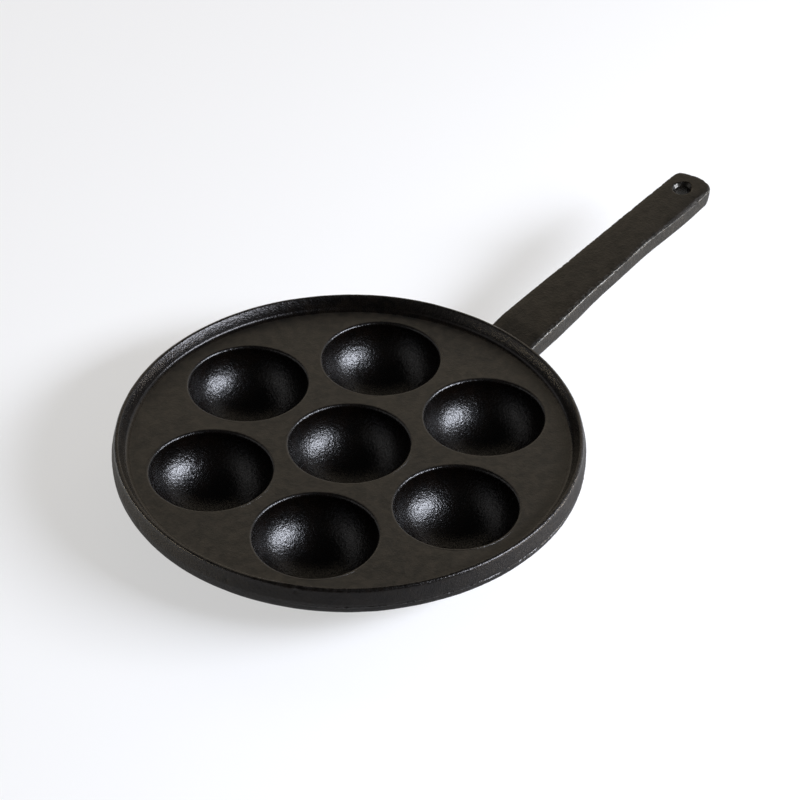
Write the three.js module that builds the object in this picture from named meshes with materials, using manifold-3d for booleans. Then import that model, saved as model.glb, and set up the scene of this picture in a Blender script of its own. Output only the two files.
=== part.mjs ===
// Round cast-iron pan with bowl-shaped wells: a flat deck inside a low rim, one well in the middle
// with a ring of wells round it, and a long tapering handle with a hanging hole near its tip.
// The pan is cast in one piece. Each region of the casting is a closed solid of its own here, and
// neighbouring regions are parted by a narrow seam.
// Millimetres, +Z up, handle along +X. The origin is on the pan's axis, at the plane it stands on.

import * as THREE from "three";
import { mergeVertices } from "three/addons/utils/BufferGeometryUtils.js";
import Module from "manifold-3d";

// Wells
const WELL_MOUTH_DIAMETER = 57;
const WELL_DEPTH = 25;
const WELL_FLOOR = 3; // metal between the bottom of a bowl and its foot
const WELL_WALL = 4;
const WELL_LIP = 0.8; // edge break where the bowl meets the deck
const WELL_LAND = 1.5; // flat ring of the deck that belongs to a well
const FOOT_DIAMETER = 16;
const BOWL_GAP = 3.2; // valley between neighbouring bowls under the deck
const RING_WELLS = 6;

// Deck and rim
const DECK_THICKNESS = 6;
const DECK_BORDER = 7.2; // deck between the ring of mouths and the foot of the rim
const RIM_HEIGHT = 6.5; // above the deck
const RIM_FILLET_RUN = 2.4;
const RIM_FILLET_RISE = 1.4;
const RIM_INNER_RUN = 2.2; // how far the inner wall leans outwards
const RIM_TOP_WIDTH = 2.1;
const RIM_TOP_ROUND = 0.6;
const RIM_OUTER_RUN = 1.6; // how far the outer wall leans, from the rim's top to the parting line
const PARTING_DROP = 0.6; // parting line below the deck
const EDGE_ROUND = 1.8; // lower edge of the pan

// Handle
const HANDLE_LENGTH = 151.4; // beyond the pan's edge
const HANDLE_ROOT_WIDTH = 27.8;
const HANDLE_TIP_WIDTH = 19.7;
const HANDLE_THICKNESS = 9;
const HANDLE_ANGLE = 8.8; // degrees above the horizontal
const HANDLE_DROP = 2.2; // top face below the deck where it leaves the pan's edge
const HANDLE_EDGE = 1.2; // edge break along the bar
const TIP_ROUND_LENGTH = 4;
const TIP_ROUND_WIDTH = 6;
const TONGUE_LENGTH = 24; // root that runs in under the deck, thinning as it goes
const TONGUE_WIDTH = 21; // at its inner end
const TONGUE_EDGE = 2.6; // thickness of its inner end
const HANG_HOLE_DIAMETER = 8;
const HANG_HOLE_FLARE = 1.4; // how much wider the hole's mouths are, all round
const HANG_HOLE_SETBACK = 11.2; // from the tip to the middle of the hole

// Fits and smoothness
const SEAM = 0.3; // between neighbouring regions
const WELL_SIDES = 36;
const RIM_SIDES = 72;
const HOLE_SIDES = 24;
const TIP_STEPS = 4;
const BOWL_STEPS = 7;
const CURVE_STEPS = 4;

// Sizes that follow
const mouthRadius = WELL_MOUTH_DIAMETER / 2;
const bowlRadius = mouthRadius - WELL_LIP;
const bowlOuterRadius = bowlRadius + WELL_WALL;
const landRadius = mouthRadius + WELL_LAND;
const wellPitch = 2 * bowlOuterRadius + BOWL_GAP;
const ringRadius = wellPitch / Math.min(1, 2 * Math.sin(Math.PI / RING_WELLS));
const deckTop = WELL_DEPTH + WELL_FLOOR;
const deckUnderside = deckTop - DECK_THICKNESS;
const rimFootRadius = ringRadius + mouthRadius + DECK_BORDER;
const rimInnerFootRadius = rimFootRadius + RIM_FILLET_RUN;
const rimInnerTopRadius = rimInnerFootRadius + RIM_INNER_RUN;
const rimOuterTopRadius = rimInnerTopRadius + RIM_TOP_WIDTH;
const panRadius = rimOuterTopRadius + RIM_OUTER_RUN;
const rimTop = deckTop + RIM_HEIGHT;
const partingHeight = deckTop - PARTING_DROP;
const handleSlope = Math.tan(THREE.MathUtils.degToRad(HANDLE_ANGLE));
const handleTip = panRadius + HANDLE_LENGTH;

const wasm = await Module();
wasm.setup();

const castIron = new THREE.MeshStandardMaterial({
  color: 0x2b2826,
  roughness: 0.5,
  metalness: 0.6,
});

// A closed outline in the radius and height plane, turned about the pan's vertical axis.
function turned(outline, sides) {
  const geometry = new THREE.LatheGeometry(outline, sides);
  geometry.rotateX(Math.PI / 2);
  return geometry;
}

function solidFrom(geometry) {
  const bare = geometry.clone();
  bare.deleteAttribute("normal");
  bare.deleteAttribute("uv");
  const merged = mergeVertices(bare);
  const mesh = new wasm.Mesh({
    numProp: 3,
    vertProperties: merged.attributes.position.array,
    triVerts: new Uint32Array(merged.index.array),
  });
  return new wasm.Manifold(mesh);
}

function geometryFrom(solid) {
  const mesh = solid.getMesh();
  const geometry = new THREE.BufferGeometry();
  geometry.setAttribute("position", new THREE.BufferAttribute(mesh.vertProperties, 3));
  geometry.setIndex(new THREE.BufferAttribute(mesh.triVerts, 1));
  geometry.computeVertexNormals();
  return geometry;
}

// Middles of the ring wells. The handle lies midway between two of them.
function ringPlaces() {
  const places = [];
  for (let i = 0; i < RING_WELLS; i++) {
    const angle = ((i + 0.5) * 2 * Math.PI) / RING_WELLS;
    places.push(new THREE.Vector2(Math.cos(angle), Math.sin(angle)).multiplyScalar(ringRadius));
  }
  return places;
}

// A bowl is half an ellipse turned about its axis: radius = a sin t, depth = b cos t.
function wellGeometry() {
  const bowlDrop = WELL_DEPTH - WELL_LIP;
  const footRadius = FOOT_DIAMETER / 2;
  const lipHeight = deckTop - WELL_LIP;
  const footAngle = Math.asin(footRadius / bowlOuterRadius);
  const outerDrop = lipHeight / Math.cos(footAngle);
  const shoulderHeight = deckUnderside - SEAM;
  const shoulderAngle = Math.acos((lipHeight - shoulderHeight) / outerDrop);
  const outline = [new THREE.Vector2(0, 0)];
  for (let i = 0; i <= BOWL_STEPS; i++) {
    const t = THREE.MathUtils.lerp(footAngle, shoulderAngle, i / BOWL_STEPS);
    outline.push(
      new THREE.Vector2(bowlOuterRadius * Math.sin(t), lipHeight - outerDrop * Math.cos(t)),
    );
  }
  outline.push(new THREE.Vector2(landRadius, shoulderHeight));
  outline.push(new THREE.Vector2(landRadius, deckTop));
  outline.push(new THREE.Vector2(mouthRadius, deckTop));
  for (let i = BOWL_STEPS; i > 0; i--) {
    const t = (i / BOWL_STEPS) * (Math.PI / 2);
    outline.push(new THREE.Vector2(bowlRadius * Math.sin(t), lipHeight - bowlDrop * Math.cos(t)));
  }
  outline.push(new THREE.Vector2(0, deckTop - WELL_DEPTH));
  return turned(outline, WELL_SIDES);
}

// A flat round plate with an opening for each well.
function deckGeometry() {
  const plate = new THREE.Shape();
  plate.absarc(0, 0, rimFootRadius - SEAM, 0, 2 * Math.PI);
  for (const place of [new THREE.Vector2(0, 0), ...ringPlaces()]) {
    const opening = new THREE.Path();
    opening.absarc(place.x, place.y, landRadius + SEAM, 0, 2 * Math.PI, true);
    plate.holes.push(opening);
  }
  const geometry = new THREE.ExtrudeGeometry(plate, {
    depth: DECK_THICKNESS,
    bevelEnabled: false,
    curveSegments: WELL_SIDES / 2,
  });
  geometry.translate(0, 0, deckUnderside);
  return geometry;
}

// The ring's section: flat underside, rounded lower edge, parting line, leaning outer wall, narrow
// top, leaning inner wall and the fillet that runs out into the deck.
function rimGeometry() {
  const section = new THREE.Path();
  const innerWallLean = RIM_INNER_RUN / (RIM_HEIGHT - RIM_FILLET_RISE);
  section.moveTo(rimFootRadius, deckUnderside);
  section.lineTo(panRadius - EDGE_ROUND, deckUnderside);
  section.quadraticCurveTo(panRadius, deckUnderside, panRadius, partingHeight);
  section.lineTo(rimOuterTopRadius, rimTop - RIM_TOP_ROUND);
  section.lineTo(rimOuterTopRadius - RIM_TOP_ROUND, rimTop);
  section.lineTo(rimInnerTopRadius + RIM_TOP_ROUND, rimTop);
  section.lineTo(rimInnerTopRadius - RIM_TOP_ROUND * innerWallLean, rimTop - RIM_TOP_ROUND);
  section.lineTo(rimInnerFootRadius, deckTop + RIM_FILLET_RISE);
  section.quadraticCurveTo(
    rimInnerFootRadius - RIM_FILLET_RISE * innerWallLean,
    deckTop,
    rimFootRadius,
    deckTop,
  );
  section.lineTo(rimFootRadius, deckUnderside);
  return turned(section.getPoints(CURVE_STEPS), RIM_SIDES);
}

// What the pan's edge takes out of the handle: everything above its underside and inside its wall.
function panEdgeCutter() {
  const outline = [
    new THREE.Vector2(0, deckUnderside - SEAM),
    new THREE.Vector2(panRadius - EDGE_ROUND / 2, deckUnderside - SEAM),
    new THREE.Vector2(panRadius + SEAM, deckUnderside + EDGE_ROUND),
    new THREE.Vector2(panRadius + SEAM, rimTop + HANDLE_THICKNESS),
    new THREE.Vector2(0, rimTop + HANDLE_THICKNESS),
  ];
  return solidFrom(turned(outline, RIM_SIDES));
}

// Top of the bar at a distance from the pan's axis: level under the pan, then rising at an angle.
function barTop(x) {
  return deckTop - HANDLE_DROP + handleSlope * Math.max(x - panRadius, 0);
}

// One section across the bar: a flat strip with its four long edges broken.
function barSection(x, half, thickness) {
  const top = barTop(x);
  const bottom = top - thickness;
  const inner = half - HANDLE_EDGE;
  return [
    new THREE.Vector3(x, -inner, top),
    new THREE.Vector3(x, -half, top - HANDLE_EDGE),
    new THREE.Vector3(x, -half, bottom + HANDLE_EDGE),
    new THREE.Vector3(x, -inner, bottom),
    new THREE.Vector3(x, inner, bottom),
    new THREE.Vector3(x, half, bottom + HANDLE_EDGE),
    new THREE.Vector3(x, half, top - HANDLE_EDGE),
    new THREE.Vector3(x, inner, top),
  ];
}

// Sections from the thin inner end of the tongue, past the pan's edge, to the rounded tip.
function barSections() {
  const endThickness = DECK_THICKNESS - HANDLE_DROP + TONGUE_EDGE;
  const sections = [
    barSection(panRadius - TONGUE_LENGTH, TONGUE_WIDTH / 2, endThickness),
    barSection(panRadius, HANDLE_ROOT_WIDTH / 2, HANDLE_THICKNESS),
  ];
  for (let i = 0; i <= TIP_STEPS; i++) {
    const t = ((i / TIP_STEPS) * Math.PI) / 2;
    const x = handleTip - TIP_ROUND_LENGTH * (1 - Math.sin(t));
    const half = HANDLE_TIP_WIDTH / 2 - TIP_ROUND_WIDTH * (1 - Math.cos(t));
    sections.push(barSection(x, half, HANDLE_THICKNESS));
  }
  return sections;
}

// A closed skin over a row of sections that all have the same number of points.
function lofted(sections) {
  const sides = sections[0].length;
  const last = (sections.length - 1) * sides;
  const faces = [];
  for (let i = 0; i < sections.length - 1; i++) {
    for (let j = 0; j < sides; j++) {
      const here = i * sides + j;
      const beside = i * sides + ((j + 1) % sides);
      faces.push(here, beside, here + sides, beside, beside + sides, here + sides);
    }
  }
  for (let j = 1; j < sides - 1; j++) {
    faces.push(0, j + 1, j);
    faces.push(last, last + j, last + j + 1);
  }
  const geometry = new THREE.BufferGeometry().setFromPoints(sections.flat());
  geometry.setIndex(faces);
  return geometry;
}

// The hanging hole: upright, with a mouth that flares at both faces of the bar.
function hangHoleCutter() {
  const middle = handleTip - HANG_HOLE_SETBACK;
  const radius = HANG_HOLE_DIAMETER / 2;
  const top = barTop(middle);
  const bottom = top - HANDLE_THICKNESS;
  const beyond = HANG_HOLE_FLARE;
  const outline = [
    new THREE.Vector2(0, bottom - beyond),
    new THREE.Vector2(radius + HANG_HOLE_FLARE + beyond, bottom - beyond),
    new THREE.Vector2(radius, bottom + HANG_HOLE_FLARE),
    new THREE.Vector2(radius, top - HANG_HOLE_FLARE),
    new THREE.Vector2(radius + HANG_HOLE_FLARE + beyond, top + beyond),
    new THREE.Vector2(0, top + beyond),
  ];
  const geometry = turned(outline, HOLE_SIDES);
  geometry.translate(middle, 0, 0);
  return solidFrom(geometry);
}

function handleGeometry() {
  const bar = solidFrom(lofted(barSections()));
  return geometryFrom(bar.subtract(panEdgeCutter()).subtract(hangHoleCutter()));
}

function addPart(pan, name, geometry) {
  const mesh = new THREE.Mesh(geometry, castIron.clone());
  mesh.name = name;
  pan.add(mesh);
  return mesh;
}

const pan = new THREE.Group();
pan.name = "seven_well_pan";
addPart(pan, "deck_plate", deckGeometry());
addPart(pan, "rim", rimGeometry());
addPart(pan, "well_centre", wellGeometry());
ringPlaces().forEach((place, i) => {
  addPart(pan, "well_" + (i + 1), wellGeometry()).position.set(place.x, place.y, 0);
});
addPart(pan, "handle", handleGeometry());

export default pan;
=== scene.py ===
# %% [markdown]
# # A seven-well cast-iron pan
# The pan is one rough sand casting: a round deck with seven bowl-shaped wells, a low rim and a
# long flat handle with a hanging hole. A construction model gives its sizes. This lesson lays a
# finer skin over that model, region by region, and then gives the skin its seasoned iron finish.
# Every surface is a formula on a grid, worked out with numpy in millimetres.

# %% Load the construction model
import math

import bmesh
import bpy
import numpy as np
from mathutils import Matrix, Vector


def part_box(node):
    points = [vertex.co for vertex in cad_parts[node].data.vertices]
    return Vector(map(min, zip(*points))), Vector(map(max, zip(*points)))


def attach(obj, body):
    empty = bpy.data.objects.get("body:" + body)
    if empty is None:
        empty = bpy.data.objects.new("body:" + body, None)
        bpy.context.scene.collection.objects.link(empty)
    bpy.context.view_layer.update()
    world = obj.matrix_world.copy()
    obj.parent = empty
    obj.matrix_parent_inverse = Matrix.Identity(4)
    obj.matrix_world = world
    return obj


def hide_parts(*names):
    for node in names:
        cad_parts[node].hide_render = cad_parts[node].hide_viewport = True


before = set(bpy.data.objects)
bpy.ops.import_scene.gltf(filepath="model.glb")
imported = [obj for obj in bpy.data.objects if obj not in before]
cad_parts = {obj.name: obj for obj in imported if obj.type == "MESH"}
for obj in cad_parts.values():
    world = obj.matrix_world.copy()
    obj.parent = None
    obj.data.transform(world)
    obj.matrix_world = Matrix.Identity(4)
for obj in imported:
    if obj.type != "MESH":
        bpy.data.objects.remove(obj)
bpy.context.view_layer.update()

# %% [markdown]
# ## Measures
# The frame is in metres. Millimetres are easier to read on an object of this size, so each box is
# turned into millimetres once, and the few heights and radii that all pieces share are named here.

# %% Measures shared by the pieces
MM = 0.001
RING_WELLS = 6


def box_mm(node):
    """Lowest and highest corner of a construction node, in millimetres."""
    low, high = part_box(node)
    return np.array(low) / MM, np.array(high) / MM


deck_under, deck_top = (end[2] for end in box_mm("deck_plate"))
pan_radius, _, rim_top = box_mm("rim")[1]
handle_tip = box_mm("handle")[1][0]
WELL_NODES = ["well_centre"] + [f"well_{i}" for i in range(1, RING_WELLS + 1)]
well_places = np.array([np.mean(box_mm(node), axis=0)[:2] for node in WELL_NODES])
print(f"deck {deck_under:.1f} to {deck_top:.1f}, rim top {rim_top:.1f}, radius {pan_radius:.1f} mm")

# %% [markdown]
# ## Camera
# The photograph was taken with a long lens, from above the pan's side away from the handle. A
# camera is easiest to place by where the eye stands, which way it heads, how far it looks down
# and how much it is rolled, because each of these can be corrected without upsetting the others.

# %% Camera
EYE_FROM_DECK = np.array([-714.7, -679.3, 807.9])
HEADING = 42.18
TILT_DOWN = 38.43
ROLL = 0.43
LENS = 122.9
SENSOR_WIDTH = 36.0
FAR_CLIP = 100.0

camera_data = bpy.data.cameras.new("camera")
camera_data.lens = LENS
camera_data.sensor_width = SENSOR_WIDTH
camera_data.clip_end = FAR_CLIP
camera = bpy.data.objects.new("camera", camera_data)
bpy.context.collection.objects.link(camera)
turn = (
    Matrix.Rotation(math.radians(HEADING - 90), 4, "Z")
    @ Matrix.Rotation(math.radians(90 - TILT_DOWN), 4, "X")
    @ Matrix.Rotation(math.radians(ROLL), 4, "Z")
)
eye = (EYE_FROM_DECK + [0, 0, deck_top]) * MM
camera.matrix_world = Matrix.Translation(eye) @ turn
bpy.context.scene.camera = camera
print("camera stands at", np.round(eye, 3), "m")

# %% [markdown]
# ## Grids and meshes
# A surface is an array of points with rows and columns. Four neighbouring points make a quad, so
# the quads of a whole grid come from one piece of index arithmetic. Several grids can make one
# piece: where their edges share points, the points are merged, and the piece is closed. Each point
# also carries three shares of finish: wear on edges that rub, which is painted a lighter grey that is
# partly real wear and partly a painted highlight, sand for how much the sand of the mould shows,
# and dry for how little oil the surface holds.

# %% Helpers for grids
PLAIN = {"wear": 0.0, "sand": 1.0, "dry": 0.0}


def grid_quads(rows, columns, wrap=False):
    """Corner numbers of every quad in a grid of points, row after row: (i, j), (i, j + 1),
    (i + 1, j + 1), (i + 1, j). With wrap, the last column joins the first."""
    i, j = np.meshgrid(np.arange(rows - 1), np.arange(columns - (not wrap)), indexing="ij")
    beside = (j + 1) % columns
    above = (i + 1) * columns
    corners = [i * columns + j, i * columns + beside, above + beside, above + j]
    return np.stack(corners, axis=-1).reshape(-1, 4)


def sheet(points, quads=None, wrap=False, **finish):
    """A grid of points in mm with its quads, and its finish as numbers or as one value per point."""
    if quads is None:
        quads = grid_quads(*points.shape[:2], wrap)
    return {"points": points, "quads": quads, **PLAIN, **finish}


flat_quads, wrapped_quads = len(grid_quads(3, 4)), len(grid_quads(3, 4, wrap=True))
print("quads in a grid of 3 by 4 points:", flat_quads, "flat,", wrapped_quads, "wrapped round")

# %% Helper that makes a piece
MERGE = 0.002
SHARP_ANGLE = 38


def make_piece(name, sheets, node, material):
    """One object from a list of sheets. Points closer than a few thousandths of a millimetre are
    merged, which closes seams and poles, and the faces are turned outwards."""
    points = np.concatenate([part["points"].reshape(-1, 3) for part in sheets])
    starts = np.cumsum([0] + [part["points"][..., 0].size for part in sheets[:-1]])
    quads = np.concatenate([start + part["quads"] for start, part in zip(starts, sheets)])
    mesh = bpy.data.meshes.new(name)
    mesh.from_pydata(points * MM, [], quads)
    for finish in PLAIN:
        values = [np.broadcast_to(part[finish], part["points"].shape[:-1]).ravel() for part in sheets]
        attribute = mesh.attributes.new(finish, "FLOAT", "POINT")
        attribute.data.foreach_set("value", np.concatenate(values).astype(np.float32))
    shell = bmesh.new()
    shell.from_mesh(mesh)
    bmesh.ops.remove_doubles(shell, verts=shell.verts, dist=MERGE * MM)
    bmesh.ops.recalc_face_normals(shell, faces=shell.faces)
    open_edges = sum(not edge.is_manifold for edge in shell.edges)
    shell.to_mesh(mesh)
    shell.free()
    mesh.shade_smooth()
    mesh.set_sharp_from_angle(angle=math.radians(SHARP_ANGLE))
    mesh.materials.append(material)
    piece = bpy.data.objects.new(name, mesh)
    bpy.context.collection.objects.link(piece)
    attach(piece, "root")
    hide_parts(node)
    print(f"{name}: {len(mesh.vertices)} points, {len(mesh.polygons)} faces, {open_edges} open edges")


print("points within", MERGE, "mm are merged, and edges over", SHARP_ANGLE, "degrees stay sharp")

# %% [markdown]
# ## The unevenness of a sand casting
# Sand moulds leave no true planes. Long swells come from the pattern, short ones from the sand.
# One function of place gives both, and every piece is pushed along its own normals by it, so
# neighbouring pieces stay level with each other at their seams. A sum of plane waves is smooth,
# never repeats within the pan, and needs no stored picture. It fades out at the floor, where the
# feet have been ground level.

# %% Unevenness as a sum of waves
WAVE_COUNT = 28
SHORTEST, LONGEST = 0.7, 1.4


def waves(points, length, seed):
    """Unevenness with a spread of about 1: the sum of plane waves cos(k.p + phase) with random but
    seeded directions and phases, and wave lengths from SHORTEST to LONGEST times `length` mm."""
    rng = np.random.default_rng(seed)
    direction = rng.normal(size=(WAVE_COUNT, 3))
    direction /= np.linalg.norm(direction, axis=1, keepdims=True)
    wave_length = length * rng.uniform(SHORTEST, LONGEST, size=(WAVE_COUNT, 1))
    k = 2 * np.pi * direction / wave_length
    phase = rng.uniform(0, 2 * np.pi, WAVE_COUNT)
    return np.cos(points @ k.T + phase).sum(axis=-1) * math.sqrt(2 / WAVE_COUNT)


def smoothstep(x):
    """0 below 0, 1 above 1, and 3x^2 - 2x^3 between."""
    x = np.clip(x, 0, 1)
    return x * x * (3 - 2 * x)


deck_middle = np.array([0, 0, deck_top])
print("one wave sum at the deck's middle:", round(float(waves(deck_middle, 50, 1)), 3))

# %% Cast skin
SWELLS = ((50, 0.05), (11, 0.018), (3, 0.007))
GROUND_HEIGHT = 4


def cast_skin(points):
    """How far the cast skin stands off the true shape, in mm. Each swell has a length and a height,
    and its number is its seed; their sum fades out over the lowest GROUND_HEIGHT mm."""
    swells = sum(height * waves(points, length, seed) for seed, (length, height) in enumerate(SWELLS, 1))
    return swells * smoothstep(points[..., 2] / GROUND_HEIGHT)


print("cast skin on the deck's middle:", round(float(cast_skin(deck_middle)), 4), "mm")

# %% [markdown]
# ## Profiles that are turned
# Wells and rim are round, so each is a profile of radius and height turned about an axis. The
# profile is a chain of straight and curved stretches. Its normals come from its own slope, and
# the cast skin is laid on along them.

# %% Helpers for turned pieces


def line(start, end, count):
    """Points evenly spaced on a straight stretch."""
    return np.linspace(start, end, count)


def bend(start, corner, end, count):
    """A quadratic curve from start to end that heads for corner: (1-t)^2 a + 2t(1-t) b + t^2 c."""
    t = np.linspace(0, 1, count)[:, None]
    return (1 - t) ** 2 * np.array(start) + 2 * t * (1 - t) * np.array(corner) + t**2 * np.array(end)


def quarter(centre, radius, drop, start, end, count):
    """Part of an ellipse: (centre + radius sin t, centre - drop cos t), t from start to end degrees."""
    t = np.radians(np.linspace(start, end, count))
    return np.stack([centre[0] + radius * np.sin(t), centre[1] - drop * np.cos(t)], axis=-1)


def chain(*stretches):
    """Stretches joined end to end, and their unit normals, on the left as the chain runs: the slope
    turned by a quarter. A shared end is kept twice, so that a corner has the normals of both sides."""
    slopes = np.concatenate([np.gradient(stretch, axis=0, edge_order=2) for stretch in stretches])
    normals = np.stack([-slopes[:, 1], slopes[:, 0]], axis=-1)
    return np.concatenate(stretches), normals / np.linalg.norm(normals, axis=1, keepdims=True)


def turned(profile, angles, place=(0, 0)):
    """A chain of points or normals turned about the upright line at place:
    x = r cos a, y = r sin a, z = z."""
    height = np.repeat(profile[:, 1:], len(angles), axis=1)
    x, y = profile[:, :1] * np.cos(angles), profile[:, :1] * np.sin(angles)
    return np.stack([x + place[0], y + place[1], height], axis=-1)


print("middle of a bend round a unit corner:", bend((0, 0), (1, 0), (1, 1), 3)[1])

# %% [markdown]
# ## Seasoned cast iron
# Bare iron is grey, but a pan that has been oiled and baked wears a thin brown-black coat of
# polymerised oil. It hides the metal's colour and reflects like a satin varnish, so the shader
# isn't metallic: a very dark base, stained in two tones, under a clear reflection that the coat
# tints a little. Sand grain shows as a fine bump, the coat is glossier where the oil pooled, and
# edges that rub are painted a little greyer, which is partly real wear and partly a painted
# highlight along edges that catch the light. All of it is made from noise on the object's own
# coordinates, so nothing slides when the pan is seen from another side.

# %% Helpers for noise and finish
NOISE_ROUGHNESS = 0.55


def noise(tree, size, detail, distortion=0.0):
    """Smooth noise from 0 to 1 on object coordinates, with lumps about `size` mm wide."""
    node = tree.nodes.new("ShaderNodeTexNoise")
    node.inputs["Scale"].default_value = 1 / (size * MM)
    node.inputs["Detail"].default_value = detail
    node.inputs["Roughness"].default_value = NOISE_ROUGHNESS
    node.inputs["Distortion"].default_value = distortion
    place = tree.nodes.new("ShaderNodeTexCoord").outputs["Object"]
    tree.links.new(place, node.inputs["Vector"])
    return node.outputs["Fac"]


def share(tree, attribute):
    """One of the three shares of finish that each point carries."""
    node = tree.nodes.new("ShaderNodeAttribute")
    node.attribute_name = attribute
    return node.outputs["Fac"]


print("finish is read from the shares", ", ".join(PLAIN))

# %% Helpers for values and colours


def remap(tree, value, low, high, to_low, to_high):
    """A value moved in proportion from the range low to high into the range to_low to to_high."""
    node = tree.nodes.new("ShaderNodeMapRange")
    ends = {"From Min": low, "From Max": high, "To Min": to_low, "To Max": to_high}
    for socket, number in ends.items():
        node.inputs[socket].default_value = number
    tree.links.new(value, node.inputs["Value"])
    return node.outputs["Result"]


def combine(tree, kind, first, second):
    """Sum or product of two values, either of which may be a plain number."""
    node = tree.nodes.new("ShaderNodeMath")
    node.operation = kind
    for socket, value in zip(node.inputs, (first, second)):
        if isinstance(value, float):
            socket.default_value = value
        else:
            tree.links.new(value, socket)
    return node.outputs["Value"]


def mix(tree, factor, first, second):
    """Blend of two colours by factor, either of which may be a plain colour."""
    node = tree.nodes.new("ShaderNodeMix")
    node.data_type = "RGBA"
    tree.links.new(factor, node.inputs["Factor"])
    for socket, colour in ((node.inputs[6], first), (node.inputs[7], second)):
        if isinstance(colour, tuple):
            socket.default_value = (*colour, 1)
        else:
            tree.links.new(colour, socket)
    return node.outputs[2]


print("values can be moved, combined and mixed")

# %% [markdown]
# ### One recipe for four irons
# The regions of the pan differ in how much sand and oil they hold, so one recipe makes four irons.
# The deck and the handle are dull and brown and mirror their surroundings warmly. The wells are
# nearly black and glossy, with deep grain that breaks up the spots of light. The rim lies between
# them in tone and reflects least.

# %% Material for the iron
FINE_GRAIN = 0.37
OIL_POOL = 26.0
STAIN = 4.5
# Grey of bare iron where edges rub; on the rim's crown, the parting ridge and the handle's upper edge it
# is partly real wear and partly a painted highlight.
BARE_IRON_AND_GLINT = (0.035, 0.034, 0.032)
DRY_ROUGHER = 0.3
FINE_ROUGHER = 0.05
FINE_HEIGHT = 0.33
COARSE_HEIGHT = 0.4


def iron_material(name, dark, brown, grain, depth, rough, tint, ior=1.4):
    """Cast iron with an oil coat. grain is the size of the sand grains in mm and depth their height
    in mm; rough is the lowest and highest roughness; dark and brown are the two tones of the coat's
    stains, and tint is the colour that the coat gives to what it mirrors."""
    material = bpy.data.materials.new(name)
    material.use_nodes = True
    tree = material.node_tree
    shader = tree.nodes["Principled BSDF"]
    fine = noise(tree, grain * FINE_GRAIN, 0.3)
    coarse = noise(tree, grain, 0.3, 0.3)
    oil = noise(tree, OIL_POOL, 3.0, 0.6)
    stain = noise(tree, STAIN, 1.5, 0.5)

    # Where edges rub the base turns grey: partly real wear, partly a painted highlight.
    wear_and_glint_mask = combine(tree, "MULTIPLY", share(tree, "wear"), remap(tree, coarse, 0.35, 0.65, 0.1, 1.0))
    coat = mix(tree, remap(tree, stain, 0.36, 0.66, 0.0, 1.0), dark, brown)
    tree.links.new(mix(tree, wear_and_glint_mask, coat, BARE_IRON_AND_GLINT), shader.inputs["Base Color"])

    pooled = remap(tree, oil, 0.3, 0.7, *rough)
    satin = combine(tree, "ADD", pooled, remap(tree, fine, 0.3, 0.7, -FINE_ROUGHER, FINE_ROUGHER))
    dryness = combine(tree, "MULTIPLY", share(tree, "dry"), DRY_ROUGHER)
    tree.links.new(combine(tree, "ADD", satin, dryness), shader.inputs["Roughness"])

    small = remap(tree, fine, 0.0, 1.0, -FINE_HEIGHT, FINE_HEIGHT)
    large = remap(tree, coarse, 0.0, 1.0, -COARSE_HEIGHT, COARSE_HEIGHT)
    grains = combine(tree, "ADD", small, large)
    bump = tree.nodes.new("ShaderNodeBump")
    bump.inputs["Strength"].default_value = 1.0
    bump.inputs["Distance"].default_value = depth * MM
    tree.links.new(combine(tree, "MULTIPLY", grains, share(tree, "sand")), bump.inputs["Height"])
    tree.links.new(bump.outputs["Normal"], shader.inputs["Normal"])
    shader.inputs["IOR"].default_value = ior
    shader.inputs["Specular Tint"].default_value = (*tint, 1)
    print("material", name)
    return material


# %% The four irons
deck_iron = iron_material(
    "deck_iron",
    dark=(0.0008, 0.0007, 0.0005),
    brown=(0.0085, 0.0065, 0.0045),
    grain=1.3,
    depth=0.07,
    rough=(0.38, 0.48),
    tint=(1.0, 0.99, 0.955),
)
well_iron = iron_material(
    "well_iron",
    dark=(0.0008, 0.0005, 0.0003),
    brown=(0.0020, 0.0011, 0.0006),
    grain=1.3,
    depth=0.165,
    rough=(0.24, 0.28),
    tint=(1.0, 1.0, 1.0),
)
rim_iron = iron_material(
    "rim_iron",
    dark=(0.0012, 0.0009, 0.0007),
    brown=(0.0036, 0.0026, 0.0018),
    grain=1.4,
    depth=0.2,
    rough=(0.22, 0.29),
    tint=(0.97, 0.94, 0.93),
    ior=1.31,
)
handle_iron = iron_material(
    "handle_iron",
    dark=(0.0014, 0.0011, 0.0008),
    brown=(0.0075, 0.0058, 0.0042),
    grain=1.3,
    depth=0.11,
    rough=(0.38, 0.46),
    tint=(1.0, 0.965, 0.87),
)

# %% [markdown]
# ## The wells
# Each well is half an ellipsoid pressed into the deck, with a rounded lip at its mouth. Under the
# deck its outside is a second, larger half ellipsoid that ends in a flat foot, and a fillet joins
# it to the plate. All of that is one closed profile from the foot round to the bottom of the bowl,
# so one function turns it at all seven places. The lip is rubbed and holds less oil than the bowl.

# %% Well profile
MOUTH_RADIUS = 29.8
LIP_ROUND = 1.4
LAND = 0.4
WELL_FLOOR = 3.0
WALL = 4.0
FOOT_RADIUS = 8.0
FOOT_ROUND = 1.2
UNDER_FILLET = 2.6
well_depth = deck_top - WELL_FLOOR
hole_radius = MOUTH_RADIUS + LAND


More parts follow.
